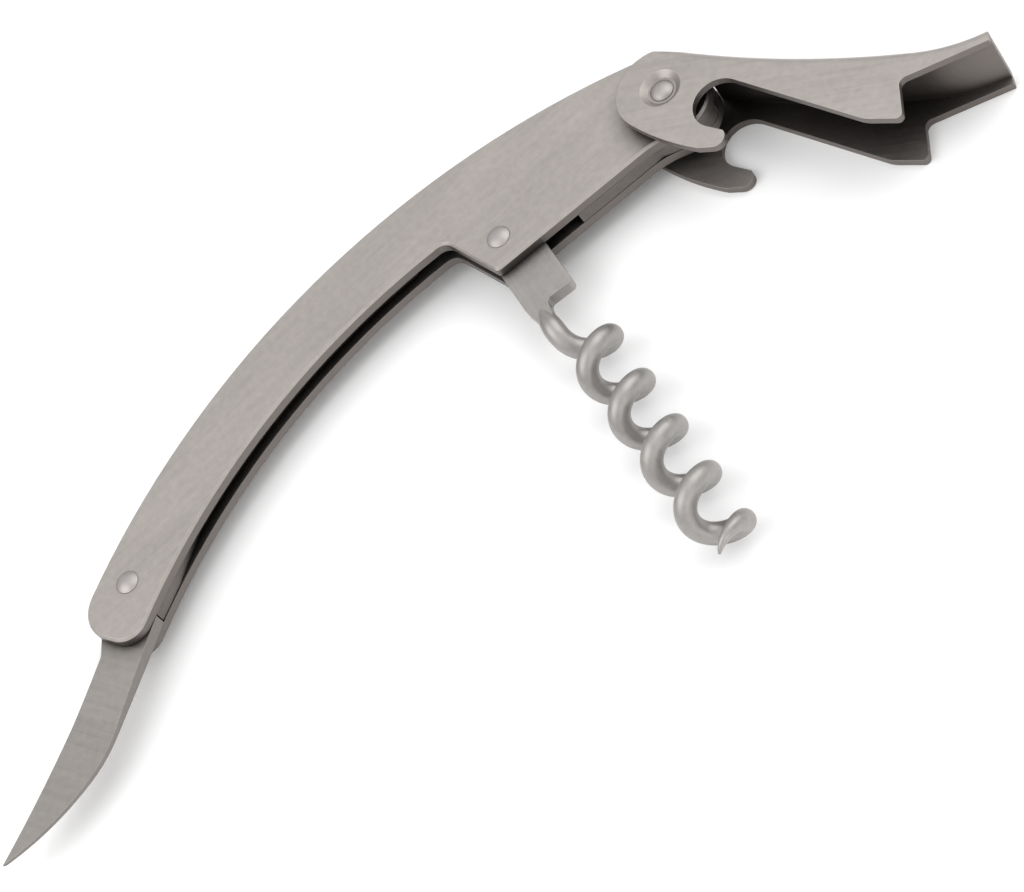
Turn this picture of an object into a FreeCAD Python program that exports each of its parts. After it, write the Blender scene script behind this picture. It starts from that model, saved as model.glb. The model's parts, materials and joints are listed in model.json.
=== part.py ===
import FreeCAD, Part
import math
import os
import Sketcher
from FreeCAD import Placement, Rotation, Vector

# Waiter's corkscrew, opened: two curved plates riveted round a worm, a foil knife and a lever.
# The handle frame has X from the worm's rivet to the lever's rivet, Y towards the handle's
# convex edge and Z through its thickness, with the worm's rivet on the origin and the mid-plane
# at zero. The lever, the worm and the knife each have a frame of their own on their rivet.
# The object's origin is under the middle of its box, as it lies flat on one lever cheek.

os.makedirs("parts", exist_ok=True)
doc = FreeCAD.newDocument("waiters_corkscrew")

SIZES = {
    # where the worm's rivet and the handle's mid-plane lie in the object's frame
    "origin_x": 21.065,
    "origin_y": 24.466,
    "mid_height": 6.0,
    # handle
    "plate_thick": 1.8,
    "plate_gap": 2.2,
    "plate_bevel": 0.35,
    "bow_x": -16.0,
    "bow_y": -100.1,
    "convex_radius": 117.8,
    "concave_radius": 106.9,
    "pivot_radius": 112.8,
    "step_x": -6.2,
    "step_lower_x": -3.4,
    "step_lower_y": -4.6,
    "lower_edge_x": 25.0,
    "lower_edge_y": -6.1,
    "lever_end_radius": 6.2,
    "knife_end_reach": 8.8,
    # pivots
    "lever_x": 30.9,
    "lever_y": -2.0,
    "knife_x": -72.0,
    "lever_angle": 319.0,
    "worm_angle": 354.32,
    "knife_angle": 210.0,
    # rivets and pins
    "rivet_radius": 1.3,
    "rivet_head_radius": 1.8,
    "rivet_dome": 0.6,
    "fixed_fit": 0.02,
    "running_fit": 0.05,
    "pin_radius": 0.75,
    "pin_socket": 1.2,
    # springs
    "spring_recess": 1.5,
    "spring_thick": 1.3,
    "spring_end_reach": 2.8,
    "bar_depth": 2.6,
    "bar_left_x": 10.5,
    "slot_side": 0.1,
    # lever
    "lever_width": 12.0,
    "sheet_thick": 1.2,
    "lever_bend": 1.6,
    "cheek_radius": 6.8,
    "web_start": 4.7,
    "dimple_floor_radius": 2.2,
    "dimple_rim_radius": 3.1,
    "dimple_depth": 0.7,
    "collar_radius": 3.0,
    "collar_clearance": 0.1,
    "notch_radius": 4.0,
    # worm
    "tang_thick": 2.1,
    "tang_radius": 4.9,
    "wire_radius": 1.6,
    "coil_radius": 3.05,
    "coil_pitch": 9.65,
    "coil_offset": 1.83,
    "coil_start": 19.8,
    "worm_length": 66.8,
    "point_turn": 0.4,
    "point_radius": 0.2,
    # knife
    "blade_thick": 2.1,
    "blade_mid_thick": 0.9,
    "blade_tip_thick": 0.5,
    "blade_length": 43.5,
    "knife_tang_radius": 4.8,
    "notch_clearance": 0.3,
    "grind_start": 9.0,
    "grind_edge": 0.15,
    "grind_width": 2.4,
}

sheet = doc.addObject("Spreadsheet::Sheet", "Sizes")
for row, (alias, value) in enumerate(SIZES.items(), start=1):
    sheet.set(f"A{row}", alias)
    sheet.set(f"B{row}", str(value))
    sheet.setAlias(f"B{row}", alias)
doc.recompute()


def size(alias):
    return float(sheet.get(alias))


# ---- shared geometry ---------------------------------------------------------------------------

BOW = Vector(size("bow_x"), size("bow_y"), 0)
LEVER_PIVOT = Vector(size("lever_x"), size("lever_y"), 0)


def polar(centre, radius, degrees):
    """The point at a radius and an angle about a centre."""
    angle = math.radians(degrees)
    return centre + Vector(radius * math.cos(angle), radius * math.sin(angle), 0)


def on_bow(radius, x):
    """The point with a given X on an arc about the handle's bow centre."""
    return Vector(x, BOW.y + math.sqrt(radius ** 2 - (x - BOW.x) ** 2), 0)


def bow_arc(radius, start_x, end_x):
    """An arc about the handle's bow centre between two X positions."""
    return Part.Arc(on_bow(radius, start_x), on_bow(radius, (start_x + end_x) / 2), on_bow(radius, end_x))


KNIFE_PIVOT = on_bow(size("pivot_radius"), size("knife_x"))
OUTWARD = (KNIFE_PIVOT - BOW).normalize()
ALONG = Vector(-OUTWARD.y, OUTWARD.x, 0)


def by_knife(along, outward):
    """A point placed from the knife's pivot, along the handle's end and across it."""
    return KNIFE_PIVOT + ALONG * along + OUTWARD * outward


def chain(*points):
    """Straight lines through the points in order."""
    return [Part.LineSegment(start, end) for start, end in zip(points, points[1:])]


def meet_bow(radius, point, direction):
    """Where a line from a point in a direction crosses an arc about the bow centre."""
    offset = point - BOW
    along = offset.dot(direction)
    reach = math.sqrt(along ** 2 - offset.dot(offset) + radius ** 2)
    return point + direction * (reach - along)


# ---- document helpers --------------------------------------------------------------------------

def bind(target, path, expression):
    target.setExpression(path, expression)


def place(target, pivot_x, pivot_y, angle=None):
    """Set a sub-part on its pivot in the object's frame, turned about the upright axis."""
    degrees = size(angle) if angle else 0
    target.Placement = Placement(Vector(0, 0, 0), Rotation(Vector(0, 0, 1), degrees))
    bind(target, "Placement.Base.x", f"Sizes.origin_x + {pivot_x}")
    bind(target, "Placement.Base.y", f"Sizes.origin_y + {pivot_y}")
    bind(target, "Placement.Base.z", "Sizes.mid_height")
    if angle:
        bind(target, "Placement.Rotation.Angle", f"Sizes.{angle} * 1 deg")


def new_body(name):
    body = doc.addObject("PartDesign::Body", name)
    body.Label = name
    return body


def new_sketch(body, name, plane, shapes, offset=None):
    """A sketch on one of the body's own planes, with the given lines, arcs and circles."""
    sketch = body.newObject("Sketcher::SketchObject", name)
    origin = [item for item in body.Origin.OriginFeatures if item.Role == plane][0]
    sketch.AttachmentSupport = (origin, "")
    sketch.MapMode = "FlatFace"
    if offset:
        bind(sketch, "AttachmentOffset.Base.z", offset)
    for shape in shapes:
        sketch.addGeometry(shape, False)
    return sketch


def add_hole(sketch, centre, radius):
    """A circle whose radius follows the sheet."""
    normal = Vector(0, 0, 1)
    index = sketch.addGeometry(Part.Circle(centre, normal, 1.0), False)
    sketch.addConstraint(Sketcher.Constraint("DistanceX", index, 3, centre.x))
    sketch.addConstraint(Sketcher.Constraint("DistanceY", index, 3, centre.y))
    limit = sketch.addConstraint(Sketcher.Constraint("Radius", index, 1.0))
    bind(sketch, f"Constraints[{limit}]", radius)


def pad(body, sketch, name, length, symmetric=False):
    feature = body.newObject("PartDesign::Pad", name)
    feature.Profile = sketch
    feature.Midplane = symmetric
    bind(feature, "Length", length)
    doc.recompute()
    return feature


def pocket(body, sketch, name, length, symmetric=False, reverse=False):
    """A pocket, which has to take something away."""
    before = body.Shape.Volume
    feature = body.newObject("PartDesign::Pocket", name)
    feature.Profile = sketch
    feature.Midplane = symmetric
    feature.Reversed = reverse
    bind(feature, "Length", length)
    doc.recompute()
    if not body.Shape.Volume < before - 0.01:
        raise RuntimeError(f"{body.Label}: {name} cuts nothing")
    return feature


def named_edges(feature, wanted):
    """The names of the feature's edges that pass a test."""
    return [f"Edge{number}" for number, edge in enumerate(feature.Shape.Edges, start=1) if wanted(edge)]


def upright_at(point):
    """A test for the upright edge that stands at a point of the outline."""
    def test(edge):
        ends = [vertex.Point for vertex in edge.Vertexes]
        return len(ends) == 2 and all(math.hypot(end.x - point.x, end.y - point.y) < 0.05 for end in ends)
    return test


def round_corner(body, feature, name, corner, radius):
    """Round one upright corner of a plate-like piece."""
    names = named_edges(feature, upright_at(corner))
    if not names:
        raise RuntimeError(f"{body.Label}: no edge for {name}")
    rounding = body.newObject("PartDesign::Fillet", name)
    rounding.Base = (feature, names)
    rounding.Radius = radius
    doc.recompute()
    return rounding


def bevel_edges(body, feature, name, wanted, width):
    bevel = body.newObject("PartDesign::Chamfer", name)
    bevel.Base = (feature, named_edges(feature, wanted))
    bind(bevel, "Size", width)
    doc.recompute()
    return bevel


# ---- handle ------------------------------------------------------------------------------------

LOWER_DIRECTION = Vector(
    size("lower_edge_x") - size("step_lower_x"), size("lower_edge_y") - size("step_lower_y"), 0).normalize()
LEVER_END_TOP = 15.0        # where the plates' end leaves its round, as an angle about the lever's rivet
LEVER_END_BOTTOM = 250.0    # where the round meets the lower edge


def lever_end_corner():
    """The plates' corner over the lever's rivet, before it is rounded."""
    start = polar(LEVER_PIVOT, size("lever_end_radius"), LEVER_END_TOP)
    direction = Vector(-math.sin(math.radians(LEVER_END_TOP)), math.cos(math.radians(LEVER_END_TOP)), 0)
    return meet_bow(size("convex_radius"), start, direction)


def plate_outline():
    """The plates' outline, anticlockwise from the knife end's outer corner, and its corners."""
    knife_end = by_knife(size("knife_end_reach"), 0)
    outer_end = meet_bow(size("convex_radius"), knife_end, OUTWARD)
    inner_end = meet_bow(size("concave_radius"), knife_end, OUTWARD)
    step_top = on_bow(size("concave_radius"), size("step_x"))
    step_bottom = Vector(size("step_lower_x"), size("step_lower_y"), 0)
    lower_end = Vector(size("lower_edge_x"), size("lower_edge_y"), 0)
    end_radius = size("lever_end_radius")
    round_start = polar(LEVER_PIVOT, end_radius, LEVER_END_BOTTOM)
    round_middle = polar(LEVER_PIVOT, end_radius, (LEVER_END_BOTTOM - 360 + LEVER_END_TOP) / 2)
    round_end = polar(LEVER_PIVOT, end_radius, LEVER_END_TOP)
    top_corner = lever_end_corner()
    shapes = chain(outer_end, inner_end)
    shapes.append(bow_arc(size("concave_radius"), inner_end.x, step_top.x))
    shapes += chain(step_top, step_bottom, lower_end, round_start)
    shapes.append(Part.Arc(round_start, round_middle, round_end))
    shapes += chain(round_end, top_corner)
    shapes.append(bow_arc(size("convex_radius"), top_corner.x, outer_end.x))
    corners = [(outer_end, 5.5), (inner_end, 3.6), (step_top, 2.2), (step_bottom, 0.9),
               (lower_end, 12.0), (top_corner, 4.5)]
    return shapes, corners


SPRING_PINS = [on_bow(111.0, -26.0), on_bow(111.0, -16.0)]


def lower_edge_point(x, inset):
    """A point on the line that runs inside the handle's lower edge."""
    start = Vector(size("step_lower_x"), size("step_lower_y"), 0)
    slope = LOWER_DIRECTION.y / LOWER_DIRECTION.x
    return Vector(x, start.y + slope * (x - start.x) + inset, 0)


BAR_PINS = [lower_edge_point(13.0, size("bar_depth") / 2), lower_edge_point(23.0, size("bar_depth") / 2)]


def make_plate(name, side):
    """A side plate: side is 1 in front and -1 behind."""
    body = new_body(name)
    shapes, corners = plate_outline()
    inner = "Sizes.plate_gap / 2" if side > 0 else "-Sizes.plate_gap / 2 - Sizes.plate_thick"
    sketch = new_sketch(body, f"{name}_outline", "XY_Plane", shapes, inner)
    for centre in (Vector(0, 0, 0), LEVER_PIVOT, KNIFE_PIVOT):
        add_hole(sketch, centre, "Sizes.rivet_radius + Sizes.fixed_fit")
    feature = pad(body, sketch, f"{name}_pad", "Sizes.plate_thick")
    for number, (corner, radius) in enumerate(corners, start=1):
        feature = round_corner(body, feature, f"{name}_corner_{number}", corner, radius)
    face_height = "Sizes.plate_gap / 2" if side > 0 else "-Sizes.plate_gap / 2"
    sockets = new_sketch(body, f"{name}_sockets", "XY_Plane", [], face_height)
    for centre in SPRING_PINS + BAR_PINS:
        add_hole(sockets, centre, "Sizes.pin_radius + Sizes.fixed_fit")
    feature = pocket(body, sockets, f"{name}_pin_sockets", "Sizes.pin_socket + Sizes.fixed_fit",
                     reverse=side > 0)
    outside = side * (size("plate_gap") / 2 + size("plate_thick"))

    def on_outer_rim(edge):
        flat = all(abs(vertex.Z - outside) < 1e-4 for vertex in edge.Vertexes)
        box = edge.BoundBox
        small = max(box.XLength, box.YLength) < 2.2 * size("rivet_radius") and edge.isClosed()
        return flat and not small

    bevel_edges(body, feature, f"{name}_bevel", on_outer_rim, "Sizes.plate_bevel")
    place(body, "0", "0")
    return body


def make_knife_spring():
    """The back spring: a thin bar along the concave edge, growing into a pinned block."""
    body = new_body("knife_spring")
    outer = size("concave_radius") + size("spring_recess")
    inner = outer + size("spring_thick")
    block = outer + 5.0
    end_reach = size("spring_end_reach")
    end_outer = by_knife(end_reach, -(size("pivot_radius") - size("concave_radius")) + 0.1)
    end_inner = by_knife(end_reach, -(size("knife_tang_radius") + size("notch_clearance")))
    thin_x, block_x, last_x = -60.0, -32.0, -12.0
    root = by_knife(-3.0, -(size("knife_tang_radius") + size("notch_clearance")))
    root_outer = by_knife(-3.0, -(size("pivot_radius") - size("concave_radius")) + 0.15)
    shapes = chain(on_bow(outer, thin_x), root_outer, end_outer, end_inner, root, on_bow(inner, thin_x))
    shapes.append(bow_arc(inner, thin_x, block_x))
    shapes += chain(on_bow(inner, block_x), on_bow(block, block_x + 4.0))
    shapes.append(bow_arc(block, block_x + 4.0, last_x))
    shapes += chain(on_bow(block, last_x), on_bow(outer, last_x))
    shapes.append(bow_arc(outer, last_x, thin_x))
    sketch = new_sketch(body, "knife_spring_outline", "XY_Plane", shapes)
    for centre in SPRING_PINS:
        add_hole(sketch, centre, "Sizes.pin_radius + Sizes.fixed_fit")
    pad(body, sketch, "knife_spring_pad", "Sizes.plate_gap - 2 * Sizes.slot_side", symmetric=True)
    place(body, "0", "0")
    return body


def make_spacer_bar():
    """The bar that closes the lower edge between the worm's slot and the lever."""
    body = new_body("spacer_bar")
    depth = size("bar_depth")
    left = size("bar_left_x")
    lower_end = Vector(size("lower_edge_x"), size("lower_edge_y"), 0)
    end_radius = size("lever_end_radius") - 0.05
    turn_bottom = polar(LEVER_PIVOT, end_radius, LEVER_END_BOTTOM)
    turn_last = polar(LEVER_PIVOT, end_radius, 315.0)
    inner_last = polar(LEVER_PIVOT, end_radius - depth, 315.0)
    inner_bottom = polar(LEVER_PIVOT, end_radius - depth, 240.0)
    shapes = chain(lower_edge_point(left, depth), lower_edge_point(left, 0.02),
                   lower_end + Vector(0, 0.05, 0), turn_bottom)
    shapes.append(Part.Arc(turn_bottom, polar(LEVER_PIVOT, end_radius, 285.0), turn_last))
    shapes += chain(turn_last, inner_last)
    shapes.append(Part.Arc(inner_last, polar(LEVER_PIVOT, end_radius - depth, 277.0), inner_bottom))
    shapes += chain(inner_bottom, lower_end + Vector(0, depth, 0), lower_edge_point(left, depth))
    sketch = new_sketch(body, "spacer_bar_outline", "XY_Plane", shapes)
    for centre in BAR_PINS:
        add_hole(sketch, centre, "Sizes.pin_radius + Sizes.fixed_fit")
    pad(body, sketch, "spacer_bar_pad", "Sizes.plate_gap - 2 * Sizes.slot_side", symmetric=True)
    place(body, "0", "0")
    return body


def make_pins(name, centres):
    """Hidden pins whose ends sit in blind sockets in both plates."""
    pins = []
    for number, centre in enumerate(centres, start=1):
        pin = doc.addObject("Part::Cylinder", f"{name}_{number}")
        bind(pin, "Radius", "Sizes.pin_radius")
        bind(pin, "Height", "Sizes.plate_gap + 2 * Sizes.pin_socket")
        pin.Placement = Placement(centre, Rotation())
        bind(pin, "Placement.Base.z", "-Sizes.plate_gap / 2 - Sizes.pin_socket")
        pins.append(pin)
    group = doc.addObject("Part::Compound", name)
    group.Label = name
    group.Links = pins
    place(group, "0", "0")
    return group


def make_rivet(name, reach, pivot_x, pivot_y):
    """A rivet with a domed head at each end, reach from the mid-plane to under each head."""
    body = new_body(name)
    shank = size("rivet_radius")
    head = size("rivet_head_radius")
    top = reach + size("rivet_dome")

    ball = (head ** 2 + size("rivet_dome") ** 2) / (2 * size("rivet_dome"))
    half_angle = math.asin(head / ball) / 2

    def dome(sign):
        middle = Vector(ball * math.sin(half_angle), sign * (top - ball + ball * math.cos(half_angle)), 0)
        return Part.Arc(Vector(0, sign * top, 0), middle, Vector(head, sign * reach, 0))

    shapes = [dome(-1)]
    shapes += chain(Vector(head, -reach, 0), Vector(shank, -reach, 0),
                    Vector(shank, reach, 0), Vector(head, reach, 0))
    shapes.append(dome(1))
    shapes += chain(Vector(0, top, 0), Vector(0, -top, 0))
    sketch = new_sketch(body, f"{name}_profile", "XZ_Plane", shapes)
    turned = body.newObject("PartDesign::Revolution", f"{name}_turned")
    turned.Profile = sketch
    turned.ReferenceAxis = (sketch, ["V_Axis"])
    turned.Angle = 360
    doc.recompute()
    place(body, pivot_x, pivot_y)
    return body


# ---- lever -------------------------------------------------------------------------------------

WEB_TURN = Vector(37.5, -0.65, 0)     # where the web's long curve meets the curve of its tip
WEB_TURN_ANGLE = -4.5
WEB_TIP_ANGLE = 20.0
WEB_RADIUS = 150.0
WEB_TIP_RADIUS = 25.0


def curve_point(centre, radius, heading):
    """The point of a left-hand curve where it runs at a heading."""
    return polar(centre, radius, heading - 90)


def web_curves(inset):
    """The two arcs of the web, inset from its outer face, from the pivot end to the tip."""
    long_centre = polar(WEB_TURN, WEB_RADIUS, WEB_TURN_ANGLE + 90)
    tip_centre = polar(WEB_TURN, WEB_TIP_RADIUS, WEB_TURN_ANGLE + 90)
    radius = WEB_RADIUS + inset
    tip_radius = WEB_TIP_RADIUS + inset
    first = math.degrees(math.asin((size("web_start") - long_centre.x) / radius))
    long_arc = Part.Arc(curve_point(long_centre, radius, first),
                        curve_point(long_centre, radius, (first + WEB_TURN_ANGLE) / 2),
                        curve_point(long_centre, radius, WEB_TURN_ANGLE))
    tip_arc = Part.Arc(curve_point(tip_centre, tip_radius, WEB_TURN_ANGLE),
                       curve_point(tip_centre, tip_radius, (WEB_TURN_ANGLE + WEB_TIP_ANGLE) / 2),
                       curve_point(tip_centre, tip_radius, WEB_TIP_ANGLE))
    return long_arc, tip_arc


NOTCH_CENTRE = Vector(9.35, -4.2, 0)


def cheek_outline():
    """The lever's side outline from the web's start round the pivot, the hook and the tooth to the tip."""
    long_arc, tip_arc = web_curves(0)
    radius = size("cheek_radius")
    notch = size("notch_radius")
    pivot = Vector(0, 0, 0)
    top = polar(pivot, radius, 104)
    hook_root = polar(pivot, radius, 235)
    hook_back = Vector(6.6, -11.3, 0)
    hook_nose = Vector(8.8, -11.55, 0)
    hook_tip = Vector(10.3, -8.95, 0)
    notch_in = polar(NOTCH_CENTRE, notch, 250)
    notch_out = polar(NOTCH_CENTRE, notch, 62.6)
    belly = Vector(31.3, -11.05, 0)
    tooth = Vector(36.9, -12.0, 0)
    rim_corner = Vector(35.9, -5.5, 0)
    tip_bottom = Vector(48.6, -1.5, 0)
    shapes = chain(long_arc.StartPoint, top)
    shapes.append(Part.Arc(top, polar(pivot, radius, 170), hook_root))
    shapes.append(Part.Arc(hook_root, Vector(1.0, -8.75, 0), hook_back))
    shapes += chain(hook_back, hook_nose)
    shapes.append(Part.Arc(hook_nose, Vector(10.6, -10.4, 0), hook_tip))
    shapes += chain(hook_tip, notch_in)
    shapes.append(Part.Arc(notch_in, polar(NOTCH_CENTRE, notch, 156), notch_out))
    shapes += chain(notch_out, belly, tooth, rim_corner, tip_bottom, tip_arc.EndPoint)
    shapes += [tip_arc, long_arc]
    corners = [(belly, 6.0), (tooth, 0.8), (rim_corner, 1.2), (hook_tip, 0.35)]
    return shapes, corners


def channel_outline():
    """The space between the cheeks: all that lies behind the web's inner face."""
    long_arc, tip_arc = web_curves(size("sheet_thick"))
    start = long_arc.StartPoint
    last = tip_arc.EndPoint
    shapes = [long_arc, tip_arc]
    shapes += chain(last, Vector(52, last.y, 0), Vector(52, -20, 0), Vector(-12, -20, 0), Vector(-12, 12, 0),
                    Vector(start.x, 12, 0), start)
    return shapes


def dimple_profile(sign):
    """One side's dish and the collar inside it, radius against height, as a closed outline."""
    hole = size("rivet_radius") + size("running_fit")
    sheet_thick = size("sheet_thick")
    outside = size("lever_width") / 2
    inside = outside - sheet_thick
    floor_top = outside - size("dimple_depth")
    floor = size("dimple_floor_radius")
    rim = size("dimple_rim_radius")
    collar = size("collar_radius")
    collar_face = size("plate_gap") / 2 + size("plate_thick") + size("collar_clearance")
    corners = [(hole, collar_face), (collar, collar_face), (rim + 0.6, inside),
               (rim + 0.6, outside), (rim, outside), (floor, floor_top), (hole, floor_top)]
    points = [Vector(radius, sign * height, 0) for radius, height in corners]
    return chain(*points, points[0])


def make_lever():
    """The lever: one sheet pressed to a channel, with hooks, teeth and two dimples."""
    body = new_body("lever")
    shapes, corners = cheek_outline()
    sketch = new_sketch(body, "lever_outline", "XY_Plane", shapes)
    add_hole(sketch, Vector(0, 0, 0), "Sizes.dimple_rim_radius")
    feature = pad(body, sketch, "lever_block", "Sizes.lever_width", symmetric=True)
    for number, (corner, radius) in enumerate(corners, start=1):
        feature = round_corner(body, feature, f"lever_corner_{number}", corner, radius)
    half = size("lever_width") / 2
    long_arc, tip_arc = web_curves(0)
    bends = [(long_arc.StartPoint + long_arc.EndPoint) * 0.5, (tip_arc.StartPoint + tip_arc.EndPoint) * 0.5]

    def on_web_edge(edge):
        middle = edge.CenterOfMass
        near = min(math.hypot(middle.x - bend.x, middle.y - bend.y) for bend in bends) < 1.5
        return near and abs(abs(middle.z) - half) < 1e-4

    bend = body.newObject("PartDesign::Fillet", "lever_bend")
    bend.Base = (feature, named_edges(feature, on_web_edge))
    bind(bend, "Radius", "Sizes.lever_bend")
    doc.recompute()
    channel = new_sketch(body, "lever_channel", "XY_Plane", channel_outline())
    pocket(body, channel, "lever_channel_cut", "Sizes.lever_width - 2 * Sizes.sheet_thick", symmetric=True)
    profile = new_sketch(body, "dimple_profile", "XZ_Plane", dimple_profile(1) + dimple_profile(-1))
    dimples = body.newObject("PartDesign::Revolution", "lever_dimples")
    dimples.Profile = profile
    dimples.ReferenceAxis = (profile, ["V_Axis"])
    dimples.Angle = 360
    doc.recompute()
    place(body, "Sizes.lever_x", "Sizes.lever_y", "lever_angle")
    return body


# ---- worm --------------------------------------------------------------------------------------

WIRE_X = size("coil_offset") - size("coil_radius")
SHANK_TOP = -16.2
COLLAR_TOP = 11.6
COLLAR_LENGTH = 6.0
COLLAR_RADIUS = 0.8


def make_tang():
    """The flattened end of the wire, square-shouldered and rounded about its rivet."""
    body = new_body("worm_tang")
    radius = size("tang_radius")
    wire = size("wire_radius")
    left = -3.0
    left_top = Vector(left, math.sqrt(radius ** 2 - left ** 2), 0)
    shoulder = Vector(radius, -13.1, 0)
    hidden = math.sqrt(wire_radius_at(-SHANK_TOP) ** 2 - (size("tang_thick") / 2) ** 2) - 0.02
    neck = Vector(WIRE_X + wire, -13.1, 0)
    foot_right = Vector(WIRE_X + hidden, SHANK_TOP, 0)
    foot_left = Vector(WIRE_X - hidden, SHANK_TOP, 0)
    sunk = Vector(0, -1, 0)
    shapes = chain(left_top, Vector(left, -12.5, 0), foot_left, foot_left + sunk, foot_right + sunk, foot_right,
                   neck, shoulder, Vector(radius, 0, 0))
    shapes.append(Part.Arc(Vector(radius, 0, 0), polar(Vector(0, 0, 0), radius, 60), left_top))
    sketch = new_sketch(body, "worm_tang_outline", "XY_Plane", shapes)
    add_hole(sketch, Vector(0, 0, 0), "Sizes.rivet_radius + Sizes.running_fit")
    feature = pad(body, sketch, "worm_tang_pad", "Sizes.tang_thick", symmetric=True)
    feature = round_corner(body, feature, "worm_tang_shoulder", shoulder, 0.8)
    feature = round_corner(body, feature, "worm_tang_neck", neck, 0.8)
    return body


def coil_point(depth):
    """The wire's centre at a depth below the rivet: straight, then turning at a rate that eases in."""
    ramp = 6.0
    full_rate = 2 * math.pi / size("coil_pitch")
    since = depth - (size("coil_start") - ramp / 2)
    if since <= 0:
        turn = 0.0
    elif since < ramp:
        turn = full_rate * since ** 2 / (2 * ramp)
    else:
        turn = full_rate * (since - ramp / 2)
    radius = size("coil_radius")
    return Vector(size("coil_offset") - radius * math.cos(turn), -depth, -radius * math.sin(turn))


def ease(share):
    """A smooth step from 0 to 1."""
    share = min(max(share, 0.0), 1.0)
    return share * share * (3 - 2 * share)


def wire_radius_at(depth):
    """The wire swells out of the tang, keeps its size, and thins to its point."""
    wire = size("wire_radius")
    taper_from = size("worm_length") - size("point_turn") * size("coil_pitch")
    if depth > taper_from:
        share = (depth - taper_from) / (size("worm_length") - taper_from)
        return wire + (size("point_radius") - wire) * share ** 1.5
    return COLLAR_RADIUS + (wire - COLLAR_RADIUS) * ease((depth - COLLAR_TOP) / COLLAR_LENGTH)


def wire_ring(depth, count):
    """Points round the wire at a depth, counted from the side that faces away from the coil's axis."""
    centre = coil_point(depth)
    heading = (coil_point(depth + 0.001) - coil_point(depth - 0.001)).normalize()
    outward = centre - Vector(size("coil_offset"), centre.y, 0)
    outward = (outward - heading * outward.dot(heading)).normalize()
    sideways = heading.cross(outward)
    radius = wire_radius_at(depth)
    angles = [2 * math.pi * number / count for number in range(count + 1)]
    return [centre + outward * (radius * math.cos(angle)) + sideways * (radius * math.sin(angle))
            for angle in angles]


def make_worm_wire():
    """The round wire: a swelling out of the tang, the straight shank, the coil and its point."""
    rings = 60
    around = 12
    last = size("worm_length")
    depths = [COLLAR_TOP + (last - COLLAR_TOP) * number / rings for number in range(rings + 1)]
    skin = Part.BSplineSurface()
    skin.interpolate([wire_ring(depth, around) for depth in depths])
    halves = []
    for start, end in ((0.0, 0.5), (0.5, 1.0)):
        half = skin.copy()
        half.segment(0.0, 1.0, start, end)
        halves.append(half.toShape())
    caps = []
    for depth in (COLLAR_TOP, last):
        centre = coil_point(depth)
        rim = [edge for half in halves for edge in half.Edges
               if all((vertex.Point - centre).Length < 1.1 * size("wire_radius") for vertex in edge.Vertexes)]
        caps.append(Part.Face(Part.Wire(rim)))
    shell = Part.makeShell(halves + caps)
    shell.sewShape()
    feature = doc.addObject("Part::Feature", "worm_wire")
    feature.Shape = Part.makeSolid(shell)
    return feature


def make_worm():
    """Tang and wire are one piece of metal."""
    worm = doc.addObject("Part::Fuse", "worm")
    worm.Label = "worm"
    worm.Base = make_tang()
    worm.Tool = make_worm_wire()
    doc.recompute()
    place(worm, "0", "0", "worm_angle")
    return worm


# ---- knife -------------------------------------------------------------------------------------

def blade_outline():
    """The blade and its tang: the cutting side faces the handle's convex edge."""
    tang = size("knife_tang_radius")
    length = size("blade_length")
    pivot = Vector(0, 0, 0)
    shoulder_x = size("spring_end_reach") + size("notch_clearance")
    shoulder_low = Vector(shoulder_x, math.sqrt(tang ** 2 - shoulder_x ** 2), 0)
    shoulder_top = Vector(shoulder_x, 5.95, 0)
    spine_crest = Vector(24.0, 8.1, 0)
    tip = Vector(length, -0.2, 0)
    edge_start = Vector(11.0, -0.05, 0)
    heel = polar(pivot, tang, -58)
    shapes = chain(shoulder_low, shoulder_top, spine_crest)
    shapes.append(Part.Arc(spine_crest, Vector(34.2, 5.2, 0), tip))
    shapes.append(Part.Arc(tip, Vector(27.0, 0.5, 0), edge_start))
    shapes += chain(edge_start, heel)
    shapes.append(Part.Arc(heel, polar(pivot, tang, 180), shoulder_low))
    corners = [(edge_start, 2.0), (spine_crest, 20.0)]
    return shapes, corners


def taper_side(sign):
    """What is ground off one side so that the blade thins towards its tip, seen from its edge."""
    thick = size("blade_thick") / 2
    middle = size("blade_mid_thick") / 2
    tip = size("blade_tip_thick") / 2
    end = size("blade_length") + 2
    points = [(8.5, thick), (22.0, middle), (end, tip), (end, thick + 1), (8.5, thick + 1)]
    corners = [Vector(along, sign * height, 0) for along, height in points]
    return chain(*corners, corners[0])


def grind_section():
    """What is ground off the rear side to make the cutting edge, seen from the tip."""
    low = -0.4
    outside = -size("blade_thick")
    corners = [Vector(low - 3, size("grind_edge"), 0), Vector(low, size("grind_edge"), 0),
               Vector(low + size("grind_width"), outside, 0), Vector(low - 3, outside, 0)]
    return chain(*corners, corners[0])


def make_knife():
    body = new_body("knife_blade")
    shapes, corners = blade_outline()
    sketch = new_sketch(body, "knife_outline", "XY_Plane", shapes)
    add_hole(sketch, Vector(0, 0, 0), "Sizes.rivet_radius + Sizes.running_fit")
    feature = pad(body, sketch, "knife_pad", "Sizes.blade_thick", symmetric=True)
    for number, (corner, radius) in enumerate(corners, start=1):
        feature = round_corner(body, feature, f"knife_corner_{number}", corner, radius)
    taper = new_sketch(body, "knife_taper", "XZ_Plane", taper_side(1) + taper_side(-1))
    pocket(body, taper, "knife_taper_cut", "Sizes.blade_length", symmetric=True)
    grind = new_sketch(body, "knife_grind", "YZ_Plane", grind_section(), "Sizes.grind_start")
    pocket(body, grind, "knife_grind_cut", "Sizes.blade_length", reverse=True)
    place(body, "Sizes.knife_x", f"{KNIFE_PIVOT.y}", "knife_angle")
    return body


# ---- the whole object --------------------------------------------------------------------------

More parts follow.
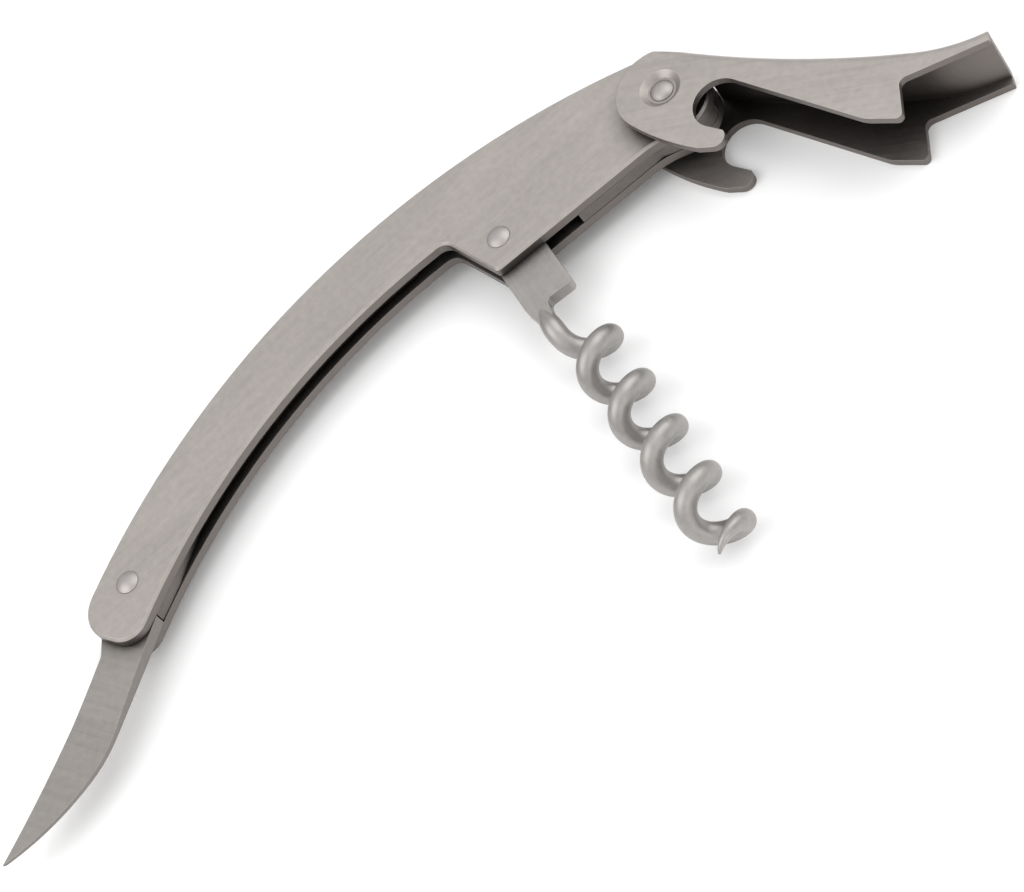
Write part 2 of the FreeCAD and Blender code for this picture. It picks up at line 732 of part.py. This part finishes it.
plate_face = size("plate_gap") / 2 + size("plate_thick")
dimple_face = size("lever_width") / 2 - size("dimple_depth")
parts = [
    make_plate("front_plate", 1),
    make_plate("rear_plate", -1),
    make_knife_spring(),
    make_pins("knife_spring_pins", SPRING_PINS),
    make_spacer_bar(),
    make_pins("spacer_bar_pins", BAR_PINS),
    make_rivet("knife_rivet", plate_face + size("fixed_fit"), "Sizes.knife_x", f"{KNIFE_PIVOT.y}"),
    make_rivet("worm_rivet", plate_face + size("fixed_fit"), "0", "0"),
    make_rivet("lever_rivet", dimple_face + size("running_fit"), "Sizes.lever_x", "Sizes.lever_y"),
    make_lever(),
    make_worm(),
    make_knife(),
]
doc.recompute()

for item in doc.Objects:
    if "Invalid" in item.State or "Error" in item.State:
        raise RuntimeError(f"{item.Name} failed: {item.State}")
for part in parts:
    if part.Shape.isNull() or not part.Shape.isValid():
        raise RuntimeError(f"{part.Label} has no valid shape")
for part in parts:
    part.Shape.exportStep(f"parts/{part.Label}.step")
    box = part.Shape.BoundBox
    print(part.Label, len(part.Shape.Solids), round(part.Shape.Volume, 1),
          [round(v, 2) for v in (box.XMin, box.YMin, box.ZMin, box.XMax, box.YMax, box.ZMax)])
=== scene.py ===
import json
import math

import bpy
from mathutils import Matrix, Vector


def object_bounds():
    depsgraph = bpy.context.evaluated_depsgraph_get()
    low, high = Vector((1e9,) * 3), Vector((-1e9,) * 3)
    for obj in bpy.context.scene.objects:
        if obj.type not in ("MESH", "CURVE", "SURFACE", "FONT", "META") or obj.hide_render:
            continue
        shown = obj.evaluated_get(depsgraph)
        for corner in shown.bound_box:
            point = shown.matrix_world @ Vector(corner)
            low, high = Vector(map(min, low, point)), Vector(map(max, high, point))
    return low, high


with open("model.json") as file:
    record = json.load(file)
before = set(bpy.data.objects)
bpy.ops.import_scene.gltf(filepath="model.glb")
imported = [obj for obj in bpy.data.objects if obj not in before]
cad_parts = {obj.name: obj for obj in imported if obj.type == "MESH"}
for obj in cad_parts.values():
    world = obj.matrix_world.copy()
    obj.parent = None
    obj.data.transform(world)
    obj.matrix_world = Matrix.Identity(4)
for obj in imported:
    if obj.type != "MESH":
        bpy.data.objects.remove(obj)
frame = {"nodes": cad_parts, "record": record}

CAD_BOX = [list(corner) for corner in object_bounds()]

WORM_PIVOT = next(Vector(joint["pos_m"]) for joint in frame["record"]["behaviour"]["joints"]
                  if joint["name"] == "worm_fold")

# Which way the metal's grain runs on each part, about the upright axis.
HANDLE_HEADING = 0.0
LEVER_HEADING = math.radians(-41)
BLADE_HEADING = math.radians(300)
WORM_HEADING = math.radians(84.32)
RIVET_HEADING = 0.8

# Colours of the steel: its faces, the painted highlight on its edges, the painted shade on its upright side
# walls and the painted shade in its recesses.
PLATE_COLOUR = (0.435, 0.402, 0.380)
BLADE_COLOUR = (0.33, 0.31, 0.292)
WORM_COLOUR = (0.37, 0.355, 0.342)
RIVET_COLOUR = (0.43, 0.405, 0.388)
# painted shade: the spring and the spacer bar sit in the gap between the plates and take a dark colour for
# its shade
SPRING_SHADE_COLOUR = (0.17, 0.155, 0.145)
# painted highlight: the bright colour put along edges
EDGE_HIGHLIGHT_COLOUR = (0.62, 0.60, 0.58, 1)
# painted shade: the dark colour for upright side walls
WALL_SHADE_COLOUR = (0.150, 0.132, 0.121, 1)
# painted shade: the near-black colour for slots, dishes and inside corners
RECESS_SHADE_COLOUR = (0.022, 0.018, 0.016, 1)

# Pattern features per metre along, across and through the grain.
GRAIN_STRETCH = (60, 2600, 2600)
STREAK_STRETCH = (12, 700, 700)
SMUDGE_STRETCH = (55, 90, 90)
SPECK_STRETCH = (900, 900, 900)
SCRATCH_STRETCH = (25, 3000, 900)
SCRATCH_TURN = 0.5          # how far the scratches lie off the grain, in radians
PAPER_STRETCH = (40, 40, 40)

# Lengths in metres.
EDGE_HIGHLIGHT_AND_POLISH_RADIUS = 0.00018     # how far the painted edge highlight and the smoother edge reach from an edge
SOFT_EDGE_RADIUS = 0.00012
BUMP_DEPTH = 0.00004
SLOT_REACH = 0.004          # how near the walls of a slot are
CHANNEL_REACH = 0.020       # the same for the lever's channel
FLOOR_HALF = 3.0
FLOOR_GAP = 0.0001

EDGE_HIGHLIGHT_SHARE = 0.25         # how much of the painted highlight colour an edge takes
GRAIN_ROUGHNESS = 0.06      # how far the grain varies the roughness
EDGE_POLISH = 0.08          # how much smoother a rubbed edge is
NODE_SAMPLES = 6


# ---- node helpers ------------------------------------------------------------------------------

class Graph:
    """A material's nodes, added and linked with short calls."""

    def __init__(self, name):
        self.material = bpy.data.materials.new(name)
        self.material.use_nodes = True
        self.nodes = self.material.node_tree.nodes
        self.links = self.material.node_tree.links
        self.shader = self.nodes["Principled BSDF"]

    def add(self, kind, **settings):
        node = self.nodes.new(kind)
        for key, value in settings.items():
            setattr(node, key, value)
        return node

    def put(self, target, source):
        """Link an output to an input socket, or set the socket's value."""
        if isinstance(source, bpy.types.NodeSocket):
            self.links.new(source, target)
        else:
            target.default_value = source

    def math(self, operation, first, second=0.0, clamp=False):
        node = self.add("ShaderNodeMath", operation=operation, use_clamp=clamp)
        self.put(node.inputs[0], first)
        self.put(node.inputs[1], second)
        return node.outputs[0]

    def remap(self, value, low, high, to_low, to_high):
        node = self.add("ShaderNodeMapRange")
        for socket, source in zip(("Value", "From Min", "From Max", "To Min", "To Max"),
                                  (value, low, high, to_low, to_high)):
            self.put(node.inputs[socket], source)
        return node.outputs["Result"]

    def mix(self, share, first, second):
        node = self.add("ShaderNodeMix", data_type="RGBA")
        self.put(node.inputs["Factor"], share)
        self.put(node.inputs["A"], first)
        self.put(node.inputs["B"], second)
        return node.outputs["Result"]

    def noise(self, vector, detail, roughness):
        """Noise with one feature to each unit of the stretched coordinates."""
        node = self.add("ShaderNodeTexNoise")
        self.put(node.inputs["Vector"], vector)
        node.inputs["Scale"].default_value = 1.0
        node.inputs["Detail"].default_value = detail
        node.inputs["Roughness"].default_value = roughness
        return node.outputs["Fac"]

    def place(self, heading, stretch):
        """Object coordinates turned so that X runs along a heading, and stretched."""
        coordinates = self.add("ShaderNodeTexCoord").outputs["Object"]
        turned = self.add("ShaderNodeMapping")
        self.put(turned.inputs["Vector"], coordinates)
        turned.inputs["Rotation"].default_value = (0, 0, -heading)
        scaled = self.add("ShaderNodeMapping")
        self.put(scaled.inputs["Vector"], turned.outputs["Vector"])
        scaled.inputs["Scale"].default_value = stretch
        return scaled.outputs["Vector"]


def edge_amount(graph, radius):
    """1 on sharp edges and 0 away from them, from the angle between the true and the rounded normal."""
    rounded = graph.add("ShaderNodeBevel", samples=NODE_SAMPLES)
    rounded.inputs["Radius"].default_value = radius
    true = graph.add("ShaderNodeNewGeometry").outputs["Normal"]
    dot = graph.add("ShaderNodeVectorMath", operation="DOT_PRODUCT")
    graph.put(dot.inputs[0], rounded.outputs["Normal"])
    graph.put(dot.inputs[1], true)
    return graph.remap(dot.outputs["Value"], 0.995, 0.85, 0.0, 1.0)


def shelter(graph, distance, own_only):
    """1 in the open and towards 0 in slots, dishes and inside corners, where the painted shade goes."""
    occlusion = graph.add("ShaderNodeAmbientOcclusion", samples=NODE_SAMPLES, only_local=own_only)
    occlusion.inputs["Distance"].default_value = distance
    return graph.remap(occlusion.outputs["AO"], 0.40, 0.92, 0.0, 1.0)


def painted_wall_shade(graph, unshaded_side):
    """Painted shade mask: 1 on the upright walls of the sheet, 0 on its faces and on walls that face the
    unshaded side.
    """
    normal = graph.add("ShaderNodeTexCoord").outputs["Normal"]
    split = graph.add("ShaderNodeSeparateXYZ")
    graph.put(split.inputs[0], normal)
    steep = graph.remap(graph.math("ABSOLUTE", split.outputs["Z"]), 0.75, 0.45, 0.0, 1.0)
    facing = graph.add("ShaderNodeVectorMath", operation="DOT_PRODUCT")
    graph.put(facing.inputs[0], normal)
    facing.inputs[1].default_value = unshaded_side
    return graph.math("MULTIPLY", steep, graph.remap(facing.outputs["Value"], 0.2, 0.5, 1.0, 0.0))


def steel_colour(graph, colour, patterns, edges):
    """The face's colour, varied by the patterns' sum and brighter along edges with a painted highlight."""
    tone = graph.math("ADD", graph.remap(patterns["grain"], 0.3, 0.7, -0.5, 0.5),
                      graph.remap(patterns["streaks"], 0.3, 0.7, -0.2, 0.2))
    tone = graph.math("ADD", tone, graph.remap(patterns["specks"], 0.3, 0.7, -0.5, 0.5))
    tone = graph.math("ADD", tone, graph.remap(patterns["smudges"], 0.35, 0.65, -0.3, 0.3))
    dark = tuple(0.88 * part for part in colour) + (1,)
    light = tuple(1.10 * part for part in colour) + (1,)
    base = graph.mix(graph.remap(tone, -1.2, 1.2, 0.0, 1.0), dark, light)
    # painted highlight: edges mixed towards a bright colour
    return graph.mix(graph.math("MULTIPLY", edges, EDGE_HIGHLIGHT_SHARE), base, EDGE_HIGHLIGHT_COLOUR)


def steel_roughness(graph, roughness, grain, patterns, edges):
    """Rougher in the grain, the smudges and the scratches, smoother along rubbed edges."""
    rough = graph.remap(patterns["grain"], 0.3, 0.7, roughness - GRAIN_ROUGHNESS * grain,
                        roughness + GRAIN_ROUGHNESS * grain)
    rough = graph.math("ADD", rough, graph.remap(patterns["smudges"], 0.3, 0.7, -0.03, 0.04))
    rough = graph.math("ADD", rough, graph.math("MULTIPLY", patterns["scratches"], 0.08))
    return graph.math("SUBTRACT", rough, graph.math("MULTIPLY", edges, EDGE_POLISH), clamp=True)


def steel_normal(graph, grain, patterns):
    """Fine relief from the patterns, over edges that are softened by a hair."""
    height = graph.math("ADD", graph.math("MULTIPLY", patterns["grain"], 0.8),
                        graph.math("MULTIPLY", patterns["streaks"], 0.3))
    height = graph.math("ADD", height, graph.math("MULTIPLY", patterns["specks"], 0.15))
    height = graph.math("SUBTRACT", height, graph.math("MULTIPLY", patterns["scratches"], 0.2))
    bump = graph.add("ShaderNodeBump")
    bump.inputs["Strength"].default_value = 0.10 * grain
    bump.inputs["Distance"].default_value = BUMP_DEPTH
    graph.put(bump.inputs["Height"], height)
    rounded = graph.add("ShaderNodeBevel", samples=NODE_SAMPLES)
    rounded.inputs["Radius"].default_value = SOFT_EDGE_RADIUS
    graph.put(bump.inputs["Normal"], rounded.outputs["Normal"])
    return bump.outputs["Normal"]


def brushed_steel(name, heading, colour=PLATE_COLOUR, roughness=0.46, grain=1.0, wall_shade_share=0.0,
                  unshaded_side=(0, 0, 0), recess=SLOT_REACH, own_only=False):
    """Satin stainless steel: fine grain along a heading, faint smudges, a painted highlight on edges,
    painted shade on upright side walls and painted shade in recesses.
    """
    graph = Graph(name)
    shader = graph.shader
    patterns = {
        "grain": graph.noise(graph.place(heading, GRAIN_STRETCH), 4.0, 0.6),
        "streaks": graph.noise(graph.place(heading, STREAK_STRETCH), 3.0, 0.5),
        "smudges": graph.noise(graph.place(heading, SMUDGE_STRETCH), 4.0, 0.6),
        "specks": graph.noise(graph.place(heading, SPECK_STRETCH), 2.0, 0.5),
    }
    lines = graph.noise(graph.place(heading + SCRATCH_TURN, SCRATCH_STRETCH), 2.0, 0.4)
    patterns["scratches"] = graph.remap(lines, 0.72, 0.80, 0.0, 1.0)
    edges = edge_amount(graph, EDGE_HIGHLIGHT_AND_POLISH_RADIUS)

    base = steel_colour(graph, colour, patterns, edges)
    # painted shade: upright side walls darkened, except those facing one given side
    if wall_shade_share:
        share = graph.math("MULTIPLY", painted_wall_shade(graph, unshaded_side), wall_shade_share)
        base = graph.mix(share, base, WALL_SHADE_COLOUR)
    # painted shade: recesses darkened towards near black by occlusion
    base = graph.mix(shelter(graph, recess, own_only), RECESS_SHADE_COLOUR, base)
    graph.put(shader.inputs["Base Color"], base)
    graph.put(shader.inputs["Roughness"], steel_roughness(graph, roughness, grain, patterns, edges))
    graph.put(shader.inputs["Normal"], steel_normal(graph, grain, patterns))
    shader.inputs["Metallic"].default_value = 0.9
    shader.inputs["Anisotropic"].default_value = 0.1
    return graph.material


# ---- CAD nodes ---------------------------------------------------------------------------------

def dress(node, material):
    """Give a CAD node its material in every slot."""
    mesh = frame["nodes"][node].data
    mesh.materials.clear()
    mesh.materials.append(material)
    for polygon in mesh.polygons:
        polygon.material_index = 0


web_side = (-math.sin(LEVER_HEADING), math.cos(LEVER_HEADING), 0)
plate_steel = brushed_steel("plate_brushed", HANDLE_HEADING, wall_shade_share=0.85)
lever_steel = brushed_steel("lever_brushed", LEVER_HEADING, wall_shade_share=0.85, unshaded_side=web_side,
                            recess=CHANNEL_REACH, own_only=True)
blade_steel = brushed_steel("blade_ground", BLADE_HEADING, BLADE_COLOUR, roughness=0.44, wall_shade_share=0.5)
worm_steel = brushed_steel("worm_drawn", WORM_HEADING, WORM_COLOUR, grain=0.5)
rivet_steel = brushed_steel("rivet_turned", RIVET_HEADING, RIVET_COLOUR, roughness=0.48, grain=0.5)
# painted shade: a dark steel for the parts in the gap between the plates
spring_shaded_steel = brushed_steel("spring_strip_painted_shade", HANDLE_HEADING, SPRING_SHADE_COLOUR, roughness=0.5)

for node, material in {
    "front_plate": plate_steel, "rear_plate": plate_steel, "knife_spring": spring_shaded_steel,
    "spacer_bar": spring_shaded_steel, "knife_spring_pins": rivet_steel, "spacer_bar_pins": rivet_steel,
    "knife_rivet": rivet_steel, "worm_rivet": rivet_steel, "lever_rivet": rivet_steel,
    "lever": lever_steel, "worm": worm_steel, "knife_blade": blade_steel,
}.items():
    dress(node, material)


# ---- floor, light and camera -------------------------------------------------------------------

def make_floor():
    """A plain pale floor under the resting cheek."""
    mesh = bpy.data.meshes.new("floor")
    corners = [(x * FLOOR_HALF, y * FLOOR_HALF, 0) for x, y in ((-1, -1), (1, -1), (1, 1), (-1, 1))]
    mesh.from_pydata(corners, [], [(0, 1, 2, 3)])
    floor = bpy.data.objects.new("floor", mesh)
    bpy.context.collection.objects.link(floor)
    floor.location.z = CAD_BOX[0][2] - FLOOR_GAP
    graph = Graph("floor_paper")
    fibres = graph.noise(graph.place(0.0, PAPER_STRETCH), 4.0, 0.55)
    paper = graph.mix(fibres, (0.93, 0.93, 0.93, 1), (0.96, 0.96, 0.96, 1))
    graph.put(graph.shader.inputs["Base Color"], paper)
    graph.shader.inputs["Roughness"].default_value = 0.9
    mesh.materials.append(graph.material)


def make_light(name, position, size, power):
    """A soft round light that faces the object."""
    data = bpy.data.lights.new(name, "AREA")
    data.shape = "DISK"
    data.size = size
    data.energy = power
    light = bpy.data.objects.new(name, data)
    light.location = position
    light.rotation_euler = (-Vector(position)).to_track_quat("-Z", "Y").to_euler()
    bpy.context.collection.objects.link(light)


def make_world():
    """A soft studio: pale overhead, darker towards the horizon."""
    world = bpy.data.worlds.new("studio")
    bpy.context.scene.world = world
    world.use_nodes = True
    nodes = world.node_tree.nodes
    links = world.node_tree.links
    direction = nodes.new("ShaderNodeTexCoord").outputs["Generated"]
    split = nodes.new("ShaderNodeSeparateXYZ")
    links.new(direction, split.inputs[0])
    ramp = nodes.new("ShaderNodeValToRGB")
    links.new(split.outputs["Z"], ramp.inputs["Fac"])
    ramp.color_ramp.elements[0].position = 0.0
    ramp.color_ramp.elements[0].color = (0.60, 0.60, 0.60, 1)
    ramp.color_ramp.elements[1].position = 0.95
    ramp.color_ramp.elements[1].color = (1.0, 1.0, 1.0, 1)
    background = nodes["Background"]
    links.new(ramp.outputs["Color"], background.inputs["Color"])
    background.inputs["Strength"].default_value = 0.95


def make_camera():
    """From the handle's concave side, 51 degrees up, rolled so that the blade points to the lower left."""
    tilt = math.radians(39)
    roll = math.radians(47.5)
    bearing = math.radians(1.14)
    distance = 0.494
    aim = WORM_PIVOT + Vector((-0.0181, -0.0279, 0))
    across = Vector((math.cos(bearing), math.sin(bearing), 0))
    toward_foot = Vector((math.sin(bearing), -math.cos(bearing), 0))
    up = Vector((0, 0, 1))
    backward = math.cos(tilt) * up + math.sin(tilt) * toward_foot
    slope = math.cos(tilt) * toward_foot - math.sin(tilt) * up
    right = math.cos(roll) * slope + math.sin(roll) * across
    down = math.sin(roll) * slope - math.cos(roll) * across
    data = bpy.data.cameras.new("camera")
    data.sensor_width = 36.0
    data.lens = 125.9
    data.clip_start = 0.01
    camera = bpy.data.objects.new("camera", data)
    bpy.context.collection.objects.link(camera)
    place = aim + backward * distance
    camera.matrix_world = Matrix.Translation(place) @ Matrix((right, -down, backward)).transposed().to_4x4()
    bpy.context.scene.camera = camera


make_floor()
make_world()
make_light("left", (-0.75, 0.05, 0.85), 1.1, 5.0)
make_light("right", (0.75, 0.15, 0.85), 1.1, 5.0)
make_light("front", (0.1, -0.85, 0.35), 0.8, 1.5)
make_camera()
bpy.context.scene.view_settings.view_transform = "Standard"
